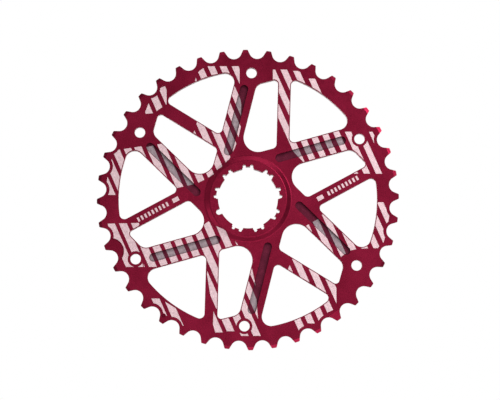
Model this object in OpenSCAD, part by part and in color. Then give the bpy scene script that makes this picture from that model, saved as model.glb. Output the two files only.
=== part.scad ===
// Bicycle cassette sprocket, one plate machined from aluminium.
// The profile is drawn in the XY plane with +Z out of the front face, and every node
// is then stood up, so that the wheel axis is Y and the front face looks along -Y.

/* [Teeth] */
// Number of teeth
tooth_count = 40; // [39:1:42]
// Chain pitch
chain_pitch = 12.7; // [12.6:0.05:12.8]
// Angle of the first tooth from +X
tooth_phase = 1; // [0:0.5:9]
// Radius of the gullet that a chain roller sits in
gullet_r = 4.4; // [4.1:0.1:4.6]
// Angle of a tooth's flank from the middle line of its gullet
flank_angle = 25; // [20:1:30]
// Height of a tooth's tip above the pitch circle
addendum = 1.1; // [0.8:0.1:1.4]
// Thickness of the tooth band
tooth_t = 1.9; // [1.6:0.1:2.4]

/* [Plate] */
// Thickness of the arms and the rim
plate_t = 3; // [2.6:0.1:3.6]
// Total thickness over the raised hub
hub_t = 4.4; // [4:0.1:5]
// Outer radius of the full-thickness rim
rim_r = 75.2; // [74:0.1:76]
// Radius of the hub's flat front face
hub_face_r = 21; // [20.5:0.1:22]
// Radius at the foot of the hub's shoulder
hub_foot_r = 23.5; // [23:0.1:24.5]
// Number of identical sectors
sectors = 6; // [6:1:6]
// Angle of the first rim hole from +X
sector_phase = 28.4; // [20:0.2:40]

/* [Windows] */
// Radius of the round outer side of the triangular windows
window_outer_r = 70.2; // [69:0.1:70.5]
// Distance from the axis to the thin arm's near edge
thin_arm_near = 14.7; // [14:0.1:15.5]
// Width of a thin arm
thin_arm_w = 7; // [6:0.1:8]
// Lean of a wide arm from its sector's middle line
wide_arm_lean = 12.6; // [12:0.1:13]

/* [Rim holes] */
// Radius of the circle that the rim holes lie on
hole_circle_r = 69.1; // [68.5:0.1:69.5]
// Radius of a rim hole
hole_r = 2.85; // [2.5:0.05:3]

/* [Slots] */
// Width of the blind slot along a wide arm
slot_w = 4.5; // [3.5:0.1:5]
// Depth of the blind slot
slot_depth = 1.1; // [0.6:0.1:1.6]

/* [Spline bore] */
// Radius of the lands between the grooves
land_r = 16.25; // [16:0.05:16.4]
// Radius of a groove's floor
groove_r = 17.3; // [17.1:0.05:17.5]
// Width of a groove
groove_w = 6.1; // [5.6:0.1:6.4]
// Width of the narrow index groove
index_w = 3; // [2.6:0.1:3.4]

/* [Etching] */
// Distance from one stripe to the next
stripe_pitch = 6.02; // [5:0.01:7]
// Direction across the stripes from +X
stripe_angle = 24; // [20:0.5:30]
// Height of the etched layer above the metal
etch_t = 0.04; // [0.02:0.01:0.1]
// Plain margin along the windows
window_margin = 0.45; // [0.3:0.05:0.8]
// Plain margin along the gullets
gullet_margin = 1.75; // [1.2:0.05:2.2]
// Outer radius of the plain ring round a rim hole
ring_r = 4.3; // [3.8:0.1:5]

/* [Hidden] */
$fn = 96;
back_z = -hub_t / 2;
front_z = back_z + plate_t;
hub_z = hub_t / 2;
// How far a cutter runs past the metal it takes away
clear = 1;
through_z = hub_t + 2 * clear;
sector_angle = 360 / sectors;
tooth_angle = 360 / tooth_count;
pitch_r = chain_pitch / 2 / sin(180 / tooth_count);
roller_r = 3.88;
root_r = pitch_r - roller_r;
tip_r = pitch_r + addendum;
gullet_centre_r = root_r + gullet_r;
tip_round = 0.5;
tip_half_w = 0.92;
rim_chamfer = 1.1;

// Tooth tips are bevelled on both faces from this radius out, apart from the plain ones.
bevel_start_r = 80.3;
bevel_depth = 0.75;
back_bevel_depth = 0.375;
bevelled_teeth = [[1, 34], [37, 37]];

// Shift features: a scoop round one tooth, a dimple beside another and a sloped tooth face.
scoop_r = 7;
scoop_depth = 0.45;
scoop_pos = [79.6, 201.1];
dimple_r = 0.95;
dimple_depth = 0.5;
dimple_pos = [78.2, 234.3];
gate_tooth = 34;
gate_start_r = 77.4;
gate_slope = 8;
gate_w = 8;

// Window sides are [direction of the outward normal, distance from the axis along it].
// Radius i rounds the corner between side i and the side after it.
trapezoid_sides = [[-90, thin_arm_near], [15.7, 59.75], [90 - wide_arm_lean, 10.8], [196.6, -23.05]];
trapezoid_radii = [2.1, 5.1, 7.9, 2.8];
triangle_base = [-90 - wide_arm_lean, -22.8];
triangle_side = [90 + sector_angle, -thin_arm_near - thin_arm_w];
triangle_radii = [2.5, 5, 2.7];

slot_near = [25.7, 11.5];
slot_length = 35.3;

// Splines: the grooves stand evenly round the bore, and one of them is narrow and off its place.
groove_count = 9;
groove_angle = 360 / groove_count;
first_groove = 90;
index_place = 6;
index_angle = 205;
groove_inset = 2;
lobe_r = 0.85;
lobe_pos = [17.6, 2];
index_round_r = 17.4;

// The hub's shoulder is a cone, rounded over at the top and filleted at the foot.
shoulder_slope = atan((hub_z - front_z) / (hub_foot_r - hub_face_r));
shoulder_round = 1.6;
shoulder_steps = 4;
shoulder_tangent = shoulder_round * tan(shoulder_slope / 2);
etched_hub_r = hub_foot_r + shoulder_tangent;
etched_outer_r = 77.2;
first_stripe = 3;
stripe_w = 3.5;
stripe_taper = 0.006;
stripe_reach = 90;
slot_etch_gap = 0.1;
scoop_margin = 0.2;
dimple_margin = 0.4;

// Marks on two thin arms: a row of slanted dashes and one solid bar.
mark_sectors = [0, 3];
mark_line = -thin_arm_near - thin_arm_w / 2;
dash_count = 9;
dash_start = 40;
dash_pitch = 2.2;
dash_size = [1.1, 2.4];
mark_bar = [33, 3.6];

// Etched panels: [drift of the stripes from the common grid, outline].
top_rim = [0.4, [[-29, 64], [-28.3, 68.6], [-25.5, 71], [-22.5, 72.8], [-4.6, 72.8], [-4.6, 62.9],
    [-6.3, 65], [-12, 65], [-20, 60]]];
top_arm = [0, [[-5.2, 61.5], [-3.7, 52], [-3.8, 40], [-5.3, 33], [-7.2, 27.8], [-10.2, 21.7],
    [-12.5, 19.5], [-14.5, 17.2], [-18, 15], [-20, 30], [-30.3, 34.6], [-28.8, 38.2], [-27.3, 44],
    [-18, 55], [-12, 64.5], [-6.3, 64.5]]];
upper_left_rim = [1.15, [[-56.4, 46.4], [-51.5, 46.8], [-44.4, 51.8], [-44.4, 62], [-49, 60.5], [-54, 53]]];
left_arm = [0, [[-44, 30.4], [-50, 29.6], [-55, 28.4], [-58, 28.6], [-63, 27.8], [-60, 20], [-41, 5.3],
    [-35.5, 6.5], [-31, 7.7], [-27.3, 8.6], [-24, 10.2], [-18.5, 13.4], [-17.6, 15.1], [-20, 30]]];
left_rim = [0.5, [[-63, 27.8], [-72, 26.5], [-77.5, 26], [-77.5, 2], [-68, 2], [-60, 20]]];
lower_left_rim = [-0.15, [[-77, -13.7], [-58.5, -13.2], [-61, -18], [-56.7, -37.1], [-68, -37.1],
    [-75, -30]]];
lower_left_arm = [-0.75, [[-61, -18], [-45, -15], [-24, -14.2], [-21.5, -12.4], [-17.2, -15], [-12.5, -17],
    [-9.5, -20.4], [-5.5, -24.8], [-10, -40], [-15, -60], [-18, -59.5], [-19.2, -57.5], [-20.5, -51.6],
    [-22.2, -41], [-21.8, -37], [-30, -45], [-46, -42], [-49.5, -37.1], [-56.2, -37.1]]];
bottom_left_rim = [-0.4, [[-53, -54.2], [-48, -54.2], [-44.9, -55.8], [-38.9, -59.5], [-33, -68],
    [-35.5, -70], [-48, -66]]];
bottom = [-0.5, [[-18.6, -60.2], [-18.9, -68], [-17.6, -72.5], [-13.3, -72.4], [-11.5, -71.8], [-5, -71.8],
    [-4, -74.3], [7, -74.3], [5.4, -65.4], [3.9, -46], [1.5, -35], [-8, -40], [-13, -60.5]]];
lower_right_arm = [-0.5, [[21, -39.5], [23.6, -34], [23.6, -31], [30, -30], [47.8, -42], [47.8, -58.5],
    [43, -52], [24, -45]]];
lower_right_rim = [-1, [[24.5, -66], [43, -52], [47, -59.8], [43, -61.7], [39.5, -67.3], [34.5, -67.6],
    [31, -67.4], [28, -73]]];
right_rim = [0.1, [[69.5, -1.8], [79, -1.8], [79, -26.6], [65, -26.9], [60, -27.2], [60, -20]]];
right_arm = [0, [[31.5, -14.7], [35.2, -12.5], [38, -11], [41.5, -7.5], [50, -12], [60, -20], [60, -27.2],
    [58.4, -27.5], [55.4, -28.1], [52.6, -29.9], [49, -32.6], [40, -27]]];
upper_right_arm = [0, [[23, 28], [30, 20.2], [45, 15], [56.5, 13.8], [73.5, 13.8], [68.6, 30.5],
    [71, 32.5], [71, 36.8], [65.5, 36.8], [62.7, 35], [60, 36.8], [53, 36.8], [40, 42], [24.5, 36],
    [19.5, 36]]];
upper_right_rim = [0, [[13.6, 71], [21.8, 71], [24, 70.3], [30, 70.3], [32, 66.1], [37, 66], [41, 58],
    [30, 55], [24.5, 35], [20, 35], [13.6, 42]]];
rim_panels = [top_rim, upper_left_rim, left_rim, lower_left_rim, bottom_left_rim, lower_right_rim,
    right_rim, upper_right_rim];
arm_panels = [top_arm, left_arm, lower_left_arm, bottom, lower_right_arm, right_arm, upper_right_arm];
hub_panels = [top_arm, left_arm, lower_left_arm];

metal = [0.55, 0.07, 0.16];
etched = [0.9, 0.8, 0.83];
etched_floor = [0.6, 0.57, 0.6];

function polar(r, a) = [r * cos(a), r * sin(a)];

// Points along an arc about c
function arc(c, r, a0, a1, steps) = [for (i = [0:steps]) c + polar(r, a0 + (a1 - a0) * i / steps)];

// Where two sides, each [normal, distance], cross once both are moved in by r
function crossing(s, t, r) =
    let (k = sin(t[0] - s[0]), p = s[1] - r, q = t[1] - r)
    [(p * sin(t[0]) - q * sin(s[0])) / k, (q * cos(s[0]) - p * cos(t[0])) / k];

// Where a side moved in by r crosses the window's round outer side moved in by r
function outer_crossing(s, r, turn) =
    let (p = s[1] - r, big = window_outer_r - r, a = acos(p / big))
    polar(big, s[0] + turn * a);

function angle_of(p) = atan2(p[1], p[0]);

// Outlines of the two window shapes, with every side moved out by m
function trapezoid_points(m) = [
    for (i = [0:3])
        let (s = trapezoid_sides[i], t = trapezoid_sides[(i + 1) % 4], r = trapezoid_radii[i])
        let (turned = t[0] < s[0] ? t[0] + 360 : t[0])
        each arc(crossing(s, t, r), r + m, s[0], turned, 12)
];

function triangle_points(m) =
    let (near = crossing(triangle_side, triangle_base, triangle_radii[0]))
    let (low = outer_crossing(triangle_base, triangle_radii[1], 1))
    let (apex = outer_crossing(triangle_side, triangle_radii[2], -1))
    concat(
        arc(near, triangle_radii[0] + m, triangle_side[0], triangle_base[0] + 360, 10),
        arc(low, triangle_radii[1] + m, triangle_base[0], angle_of(low), 12),
        arc([0, 0], window_outer_r + m, angle_of(low), angle_of(apex), 12),
        arc(apex, triangle_radii[2] + m, angle_of(apex), triangle_side[0], 10)
    );

// One gullet and the tooth after it
function tooth_points(i) =
    let (g = tooth_phase + (i + 0.5) * tooth_angle, t = g + tooth_angle / 2)
    let (side = 90 - flank_angle + tooth_angle / 2)
    let (in = tip_r - tip_round)
    let (corner_a = polar(in, t) + polar(tip_half_w, t - 90))
    let (corner_b = polar(in, t) + polar(tip_half_w, t + 90))
    concat(
        arc(polar(gullet_centre_r, g), gullet_r, g + 270 - flank_angle, g + 90 + flank_angle, 14),
        arc(corner_a, tip_round, t - side, t, 3),
        arc(corner_b, tip_round, t, t + side, 3)
    );

module stand() {
    rotate([90, 0, 0]) children();
}

module each_sector() {
    for (k = [0:sectors - 1]) rotate(sector_phase + k * sector_angle) children();
}

module toothed_outline() {
    polygon([for (i = [0:tooth_count - 1]) each tooth_points(i)]);
}

module windows(m) {
    each_sector() {
        polygon(trapezoid_points(m));
        polygon(triangle_points(m));
    }
}

// The slots' outline, with every side moved in by m
module slots(m) {
    r = slot_w / 2 - m;
    each_sector() translate(slot_near) rotate(-wide_arm_lean)
        polygon(concat(arc([0, 0], r, 90, 270, 16), arc([slot_length, 0], r, -90, 90, 16)));
}

module wide_groove() {
    intersection() {
        circle(groove_r);
        translate([land_r - groove_inset, -groove_w / 2]) square([2 * groove_inset, groove_w]);
    }
    for (side = [-1, 1]) translate([lobe_pos[0], side * lobe_pos[1]]) circle(lobe_r);
}

module index_groove() {
    r = index_w / 2;
    root = land_r - groove_inset;
    polygon(concat([[root, -r]], arc([index_round_r, 0], r, -90, 90, 16), [[root, r]]));
}

module spline_outline() {
    circle(land_r);
    for (i = [0:groove_count - 1])
        if (i != index_place) rotate(first_groove - i * groove_angle) wide_groove();
    rotate(index_angle) index_groove();
}

// Hub shoulder in [radius, height], with the whole profile lifted off the metal by m
function shoulder(m) = concat(
    arc([hub_face_r - shoulder_tangent, hub_z - shoulder_round], shoulder_round + m,
        90, 90 - shoulder_slope, shoulder_steps),
    arc([etched_hub_r, front_z + shoulder_round], shoulder_round - m,
        270 - shoulder_slope, 270, shoulder_steps)
);

module core() {
    rotate_extrude()
        polygon(concat(
            [[0, back_z], [rim_r - rim_chamfer, back_z], [rim_r, back_z + rim_chamfer], [rim_r, front_z]],
            [for (i = [2 * shoulder_steps + 1:-1:0]) shoulder(0)[i]],
            [[0, hub_z]]
        ));
}

module tooth_band() {
    translate([0, 0, front_z - tooth_t]) linear_extrude(tooth_t) toothed_outline();
}

// Rings that take the edges off the tooth tips, front and back
module tip_bevels() {
    out_r = tip_r + clear;
    back = front_z - tooth_t;
    for (span = bevelled_teeth)
        rotate(tooth_phase + (span[0] - 0.5) * tooth_angle)
            rotate_extrude(angle = (span[1] - span[0] + 1) * tooth_angle) {
                polygon([[bevel_start_r, front_z], [out_r, front_z - bevel_depth],
                    [out_r, front_z + clear], [bevel_start_r, front_z + clear]]);
                polygon([[bevel_start_r, back], [bevel_start_r, back - clear],
                    [out_r, back - clear], [out_r, back + back_bevel_depth]]);
            }
}

// A flat-floored round pocket of radius r in the front face, at [radius, angle]
module pocket(pos, r, depth) {
    rotate(pos[1]) translate([pos[0], 0, front_z - depth]) cylinder(r = r, h = depth + clear);
}

module shift_features() {
    pocket(scoop_pos, scoop_r, scoop_depth);
    pocket(dimple_pos, dimple_r, dimple_depth);
    rotate(tooth_phase + gate_tooth * tooth_angle) translate([gate_start_r, -gate_w / 2, front_z])
        rotate([0, gate_slope, 0]) cube([gate_w, gate_w, gate_w / 2]);
}

module rim_holes(r, h) {
    each_sector() translate([hole_circle_r, 0, -h / 2]) cylinder(r = r, h = h);
}

module sprocket_plate() {
    color(metal) stand() difference() {
        union() {
            core();
            tooth_band();
        }
        translate([0, 0, -through_z / 2]) linear_extrude(through_z) windows(0);
        translate([0, 0, -through_z / 2]) linear_extrude(through_z) spline_outline();
        rim_holes(hole_r, through_z);
        translate([0, 0, front_z - slot_depth]) linear_extrude(slot_depth + clear) slots(0);
        tip_bevels();
        shift_features();
    }
}

// Stripes get a little narrower from left to right across the sprocket.
module stripes(drift) {
    count = ceil(stripe_reach / stripe_pitch);
    rotate(stripe_angle)
        for (i = [-count:count]) {
            x = first_stripe + i * stripe_pitch + drift;
            translate([x, -stripe_reach]) square([stripe_w - stripe_taper * x, 2 * stripe_reach]);
        }
}

module panel_stripes(panel) {
    intersection() {
        polygon(panel[1]);
        stripes(panel[0]);
    }
}

// Where the front face stays plain
module plain_areas() {
    windows(window_margin);
    slots(-slot_etch_gap);
    circle(etched_hub_r);
    each_sector() translate([hole_circle_r, 0]) circle(ring_r);
    for (i = [0:tooth_count - 1]) rotate(tooth_phase + (i + 0.5) * tooth_angle)
        translate([gullet_centre_r, 0]) circle(gullet_r + gullet_margin);
    rotate(scoop_pos[1]) translate([scoop_pos[0], 0]) circle(scoop_r + scoop_margin);
    rotate(dimple_pos[1]) translate([dimple_pos[0], 0]) circle(dimple_r + dimple_margin);
}

module etched_stripes() {
    color(etched) stand() translate([0, 0, front_z]) linear_extrude(etch_t) difference() {
        intersection() {
            for (panel = concat(rim_panels, arm_panels)) panel_stripes(panel);
            circle(etched_outer_r);
        }
        plain_areas();
    }
}

module etched_slot_floors() {
    color(etched_floor) stand() translate([0, 0, front_z - slot_depth]) linear_extrude(etch_t)
        for (panel = arm_panels) intersection() {
            panel_stripes(panel);
            slots(slot_etch_gap);
        }
}

module etched_hub_shoulder() {
    last = 2 * shoulder_steps + 1;
    color(etched) stand() intersection() {
        rotate_extrude() polygon(concat(
            [for (i = [shoulder_steps:last]) shoulder(0)[i]],
            [for (i = [last:-1:shoulder_steps]) shoulder(etch_t)[i]]
        ));
        translate([0, 0, front_z - clear]) linear_extrude(hub_t)
            for (panel = hub_panels) panel_stripes(panel);
    }
}

module etched_arm_marks() {
    color(etched) stand() translate([0, 0, front_z]) linear_extrude(etch_t)
        for (k = mark_sectors) rotate(sector_phase + k * sector_angle) {
            for (i = [0:dash_count - 1]) translate([dash_start + i * dash_pitch, mark_line])
                square(dash_size, center = true);
            translate([mark_bar[0] + mark_bar[1] / 2, mark_line])
                square([mark_bar[1], dash_size[1]], center = true);
        }
}

sprocket_plate();
etched_stripes();
etched_slot_floors();
etched_hub_shoulder();
etched_arm_marks();
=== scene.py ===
import math

import bpy
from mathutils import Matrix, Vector


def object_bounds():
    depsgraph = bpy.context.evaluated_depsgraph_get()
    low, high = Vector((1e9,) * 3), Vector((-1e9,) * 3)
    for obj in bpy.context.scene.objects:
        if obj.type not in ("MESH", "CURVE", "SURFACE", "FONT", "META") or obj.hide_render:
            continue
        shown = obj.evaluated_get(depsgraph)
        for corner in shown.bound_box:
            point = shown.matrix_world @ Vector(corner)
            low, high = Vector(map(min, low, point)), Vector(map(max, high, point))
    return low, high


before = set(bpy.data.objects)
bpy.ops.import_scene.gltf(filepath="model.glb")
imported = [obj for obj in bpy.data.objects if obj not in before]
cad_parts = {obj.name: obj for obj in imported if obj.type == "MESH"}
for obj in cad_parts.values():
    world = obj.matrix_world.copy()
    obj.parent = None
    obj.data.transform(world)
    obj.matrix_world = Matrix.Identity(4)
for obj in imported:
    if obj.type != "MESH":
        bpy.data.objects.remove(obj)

# A red anodised bicycle cassette sprocket with etched stripes, stood up in a white studio.
# Lengths are in metres, and texture scales are in features per metre.

cad_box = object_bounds()
LOW = cad_box[0]

# Where finishes and painted shade change: by radius from the wheel axis, at the edge of the hub's flat face
# and at the foot of its shoulder, and by depth, just behind the front face and just ahead of the slots'
# floors, which get painted shade
HUB_FACE_R = 0.0206
HUB_FOOT_R = 0.0242
FRONT_Y = -0.0007
SLOT_FLOOR_Y = 0.0002

# Camera
VIEW_AZIMUTH = math.radians(-0.7)
VIEW_ELEVATION = math.radians(-5.75)
VIEW_DISTANCE = 1.049
VIEW_AIM = Vector((0.0011, 0.0, -0.0006))
VIEW_LENS = 139

# Stage
FLOOR_DROP = 0.6
FLOOR_R = 2.5
FLOOR_STEPS = 96
FLOOR_GREY = 0.86

# Lights: name, roll, tilt, distance, width, height and power
SOFTBOXES = (
    ("front", 90, 5, 1.7, 0.3, 0.3, 0.5),
    ("front_low", -90, 8, 1.7, 1.0, 1.0, 0.83),
    ("key", 37, 33, 1.4, 0.35, 0.35, 6.6),
    ("low", -68, 33, 1.2, 0.7, 0.7, 4.6),
    ("low_left", -112, 33, 1.2, 0.6, 0.6, 0.65),
    ("top", 78, 62, 1.4, 1.5, 0.6, 6.3),
    ("left", 150, 60, 1.4, 0.7, 0.7, 1.1),
    ("far_left", -160, 60, 1.4, 0.6, 0.6, 2.5),
    ("back", 80, 165, 1.8, 1.4, 1.4, 9),
)
ROOM_GREY = 0.37

# Distance from one tool mark to the next: on walls, on the hub's face and in the etching
CUTTER_PITCH = 0.00028
TURNING_PITCH = 0.00016
LASER_PITCH = 0.00018
# Rise of the laser's passes for each step across
LASER_SLANT = 0.45
# How much rougher the hub's shoulder is than the rest
SHOULDER_ROUGH = 0.09
# A surface turned less than this towards Y is a wall, and any other is a face
FACE_SHARE = 0.5
# A noise texture's values lie mostly between these
NOISE_LOW, NOISE_HIGH = 0.3, 0.7

# Corner shading: how far it reaches and how dark it gets. A slot's floor is in the shade of its
# upper right wall.
CORNER_REACH = 0.0013
CORNER_SHADE = 0.25
SLOT_REACH = 0.002
SLOT_LEAN = (0.6, 0, 0.7)
SLOT_ETCH_SHADE = 0.45

# Colours, linear
RED = (0.207, 0.0092, 0.0312)
RED_DEEP = (0.159, 0.0065, 0.0226)
# Slot floor reds: greyer than RED, and darker as painted shade of the recess
SLOT_RED_SHADED = (0.118, 0.0148, 0.033)
SLOT_RED_SHADED_DEEP = (0.083, 0.011, 0.0242)
ETCH = (0.7, 0.507, 0.537)
ETCH_DULL = (0.59, 0.422, 0.452)
# Etched slot floor colours: darker than ETCH as painted shade of the recess
FLOOR_ETCH_SHADED = (0.365, 0.292, 0.316)
FLOOR_ETCH_SHADED_DULL = (0.277, 0.208, 0.233)


def set_camera():
    data = bpy.data.cameras.new("camera")
    data.lens = VIEW_LENS
    data.sensor_width = 36
    data.clip_start = 0.01
    data.clip_end = 20
    camera = bpy.data.objects.new("camera", data)
    bpy.context.scene.collection.objects.link(camera)
    flat = math.cos(VIEW_ELEVATION)
    back = Vector((math.sin(VIEW_AZIMUTH) * flat, -math.cos(VIEW_AZIMUTH) * flat, math.sin(VIEW_ELEVATION)))
    camera.location = VIEW_AIM + back * VIEW_DISTANCE
    camera.rotation_mode = "QUATERNION"
    camera.rotation_quaternion = (-back).to_track_quat("-Z", "Y")
    bpy.context.scene.camera = camera


class Shader:
    """A new node material with its Principled shader, and short ways to add nodes to it."""

    def __init__(self, name, **sockets):
        self.material = bpy.data.materials.new(name)
        self.material.use_nodes = True
        self.tree = self.material.node_tree
        self.principled = self.tree.nodes["Principled BSDF"]
        for socket, value in sockets.items():
            self.principled.inputs[socket.replace("_", " ").title()].default_value = value
        self.place = self.add("ShaderNodeTexCoord").outputs["Object"]
        self.normal = self.add("ShaderNodeNewGeometry").outputs["Normal"]

    def add(self, kind, **settings):
        node = self.tree.nodes.new(kind)
        for key, value in settings.items():
            setattr(node, key, value)
        return node

    def join(self, output, target):
        self.tree.links.new(output, target)

    def feed(self, socket, value):
        if isinstance(value, bpy.types.NodeSocket):
            self.join(value, socket)
        else:
            socket.default_value = value

    def math(self, operation, first, second=0.0):
        node = self.add("ShaderNodeMath", operation=operation)
        self.feed(node.inputs[0], first)
        self.feed(node.inputs[1], second)
        return node.outputs[0]

    def waves(self, length, pitch):
        return self.math("SINE", self.math("MULTIPLY", length, 2 * math.pi / pitch))

    def noise(self, scale, detail):
        node = self.add("ShaderNodeTexNoise")
        node.inputs["Scale"].default_value = scale
        node.inputs["Detail"].default_value = detail
        self.join(self.place, node.inputs["Vector"])
        return node.outputs["Fac"]

    def ramp(self, value, low, high, start=0.35, end=0.65):
        node = self.add("ShaderNodeValToRGB")
        stops = node.color_ramp.elements
        stops[0].position, stops[0].color = start, (*low, 1.0)
        stops[1].position, stops[1].color = end, (*high, 1.0)
        self.join(value, node.inputs["Fac"])
        return node.outputs["Color"]

    def mix(self, share, first, second, blend="MIX"):
        node = self.add("ShaderNodeMixRGB", blend_type=blend)
        self.feed(node.inputs["Fac"], share)
        self.join(first, node.inputs["Color1"])
        self.join(second, node.inputs["Color2"])
        return node.outputs["Color"]

    def shaded(self, colour, reach=CORNER_REACH, lean=(0, 0, 0), deepest=CORNER_SHADE):
        """Paints shade into a colour: darker in corners, and more in those on the side that it leans
        towards.
        """
        leaning = self.add("ShaderNodeVectorMath", operation="ADD")
        leaning.inputs[1].default_value = lean
        self.join(self.normal, leaning.inputs[0])
        unit = self.add("ShaderNodeVectorMath", operation="NORMALIZE")
        self.join(leaning.outputs["Vector"], unit.inputs[0])
        # Painted shade: ambient occlusion darkens the colour where walls stand close
        corner = self.add("ShaderNodeAmbientOcclusion", samples=12)
        corner.inputs["Distance"].default_value = reach
        self.join(unit.outputs["Vector"], corner.inputs["Normal"])
        shade = self.ramp(corner.outputs["AO"], (deepest,) * 3, (1, 1, 1), start=0.4, end=0.95)
        return self.mix(1.0, colour, shade, "MULTIPLY")

    def spread(self, value, low, high):
        node = self.add("ShaderNodeMapRange")
        node.inputs["From Min"].default_value = NOISE_LOW
        node.inputs["From Max"].default_value = NOISE_HIGH
        node.inputs["To Min"].default_value = low
        node.inputs["To Max"].default_value = high
        self.join(value, node.inputs["Value"])
        return node.outputs["Result"]

    def parts(self, vector):
        node = self.add("ShaderNodeSeparateXYZ")
        self.join(vector, node.inputs["Vector"])
        return node.outputs

    def bump(self, height, depth, strength, under=None):
        node = self.add("ShaderNodeBump")
        node.inputs["Strength"].default_value = strength
        node.inputs["Distance"].default_value = depth
        self.join(height, node.inputs["Height"])
        if under:
            self.join(under, node.inputs["Normal"])
        return node.outputs["Normal"]

    def colour(self, output):
        self.join(output, self.principled.inputs["Base Color"])

    def rough(self, output):
        self.join(output, self.principled.inputs["Roughness"])

    def surface(self, output):
        self.join(output, self.principled.inputs["Normal"])


def anodised_red():
    """Satin dyed aluminium: a fine blasted grain, milled walls and faint turning marks on the hub, with
    painted shade in the corners and on the slots' floors.
    """
    s = Shader("anodised_red", metallic=1.0)
    x, y, z = s.parts(s.place)
    normal_y = s.parts(s.normal)["Y"]
    facing = s.math("ABSOLUTE", normal_y)

    # The floors of the blind slots are greyer in tone and painted darker than the turned face, as the shade
    # in their recess; all corners get painted shade, a slot's floor most under its upper right wall
    forward = s.math("LESS_THAN", normal_y, -FACE_SHARE)
    in_slot = s.math("MULTIPLY", forward, s.math("GREATER_THAN", y, SLOT_FLOOR_Y))
    plain = s.ramp(s.noise(scale=55, detail=5), RED_DEEP, RED)
    slot = s.ramp(s.noise(scale=260, detail=4), SLOT_RED_SHADED_DEEP, SLOT_RED_SHADED)
    s.colour(s.mix(in_slot, s.shaded(plain), s.shaded(slot, SLOT_REACH, SLOT_LEAN)))

    # Cutter lines run round the walls, one above another through the thickness
    on_wall = s.math("LESS_THAN", facing, FACE_SHARE)
    walls = s.math("MULTIPLY", on_wall, s.waves(y, CUTTER_PITCH))

    # Turning marks are rings on the hub's flat faces, and the shoulder in front is rougher
    radius = s.math("SQRT", s.math("ADD", s.math("MULTIPLY", x, x), s.math("MULTIPLY", z, z)))
    on_hub = s.math("LESS_THAN", radius, HUB_FACE_R)
    near_hub = s.math("SUBTRACT", s.math("LESS_THAN", radius, HUB_FOOT_R), on_hub)
    on_shoulder = s.math("MULTIPLY", near_hub, s.math("LESS_THAN", y, FRONT_Y))
    satin = s.spread(s.noise(scale=420, detail=4), low=0.24, high=0.34)
    s.rough(s.math("ADD", satin, s.math("MULTIPLY", on_shoulder, SHOULDER_ROUGH)))
    rings = s.math("MULTIPLY", s.waves(radius, TURNING_PITCH), on_hub)

    grain = s.bump(s.noise(scale=3600, detail=2), depth=0.00002, strength=0.35)
    turned = s.bump(rings, depth=0.000004, strength=0.12, under=grain)
    s.surface(s.bump(walls, depth=0.000012, strength=0.4, under=turned))
    return s.material


def etched(name, bright, dull, low_rough, high_rough, **shading):
    """Anodising burnt off by a laser in close parallel passes: matt, pale and a little uneven."""
    s = Shader(name, metallic=0.85)
    patchy = s.ramp(s.noise(scale=700, detail=4), dull, bright, start=0.3, end=0.62)
    # Painted shade: the etched colour is darkened in corners
    s.colour(s.shaded(patchy, **shading))
    s.rough(s.spread(s.noise(scale=1500, detail=3), low_rough, high_rough))
    x, _, z = s.parts(s.place)
    across = s.math("ADD", x, s.math("MULTIPLY", z, LASER_SLANT))
    grain = s.bump(s.noise(scale=5200, detail=2), depth=0.00002, strength=0.5)
    s.surface(s.bump(s.waves(across, LASER_PITCH), depth=0.000005, strength=0.25, under=grain))
    return s.material


def paint(node, material):
    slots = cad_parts[node].material_slots
    for slot in slots:
        slot.material = material


def softbox(name, roll, tilt, distance, width, height, power):
    """A soft light aimed at the hub. Roll goes round the wheel axis from +X, and tilt leans from -Y."""
    turn, lean = math.radians(roll), math.radians(tilt)
    toward = Vector((math.sin(lean) * math.cos(turn), -math.cos(lean), math.sin(lean) * math.sin(turn)))
    data = bpy.data.lights.new(name, "AREA")
    data.shape = "RECTANGLE"
    data.size = width
    data.size_y = height
    data.energy = power
    light = bpy.data.objects.new(name, data)
    light.location = toward * distance
    light.rotation_mode = "QUATERNION"
    light.rotation_quaternion = (-toward).to_track_quat("-Z", "Y")
    light.visible_camera = False
    bpy.context.scene.collection.objects.link(light)


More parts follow.
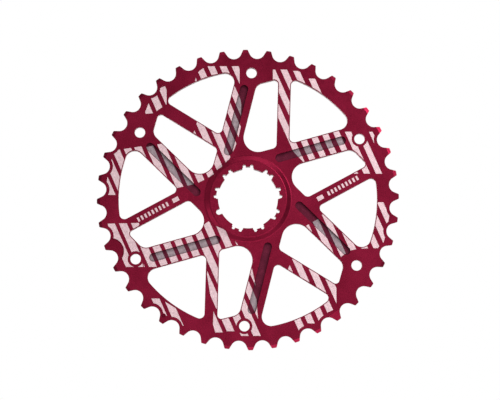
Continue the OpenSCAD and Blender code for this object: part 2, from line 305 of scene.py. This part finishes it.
def set_lights():
    for box in SOFTBOXES:
        softbox(*box)


def set_world():
    """White behind the object, and a soft grey room for light and reflections."""
    world = bpy.data.worlds.new("studio")
    world.use_nodes = True
    bpy.context.scene.world = world
    tree = world.node_tree
    add, join = tree.nodes.new, tree.links.new
    room = tree.nodes["Background"]
    room.inputs["Color"].default_value = (1, 1, 1, 1)
    room.inputs["Strength"].default_value = ROOM_GREY
    backdrop = add("ShaderNodeBackground")
    backdrop.inputs["Color"].default_value = (1, 1, 1, 1)
    mixed = add("ShaderNodeMixShader")
    join(add("ShaderNodeLightPath").outputs["Is Camera Ray"], mixed.inputs["Fac"])
    join(room.outputs["Background"], mixed.inputs[1])
    join(backdrop.outputs["Background"], mixed.inputs[2])
    join(mixed.outputs["Shader"], tree.nodes["World Output"].inputs["Surface"])


def make_floor():
    mesh = bpy.data.meshes.new("floor")
    height = LOW.z - FLOOR_DROP
    turn = 2 * math.pi / FLOOR_STEPS
    rim = [(FLOOR_R * math.cos(i * turn), FLOOR_R * math.sin(i * turn), height) for i in range(FLOOR_STEPS)]
    mesh.from_pydata(rim, [], [range(FLOOR_STEPS)])
    floor = bpy.data.objects.new("floor", mesh)
    bpy.context.scene.collection.objects.link(floor)
    s = Shader("pale_floor", roughness=0.7)
    s.principled.inputs["Base Color"].default_value = (*(FLOOR_GREY,) * 3, 1)
    mesh.materials.append(s.material)


set_camera()
paint("sprocket_plate", anodised_red())
stripes = etched("etched_pale", ETCH, ETCH_DULL, low_rough=0.42, high_rough=0.55)
for node in ("etched_stripes", "etched_hub_shoulder", "etched_arm_marks"):
    paint(node, stripes)
# The etched slot floors are painted darker as the shade of their recess, and darker still in their corners
floors = etched("etched_slot", FLOOR_ETCH_SHADED, FLOOR_ETCH_SHADED_DULL, low_rough=0.45, high_rough=0.6,
                reach=SLOT_REACH, lean=SLOT_LEAN, deepest=SLOT_ETCH_SHADE)
paint("etched_slot_floors", floors)
set_lights()
set_world()
make_floor()
bpy.context.scene.view_settings.view_transform = "Standard"
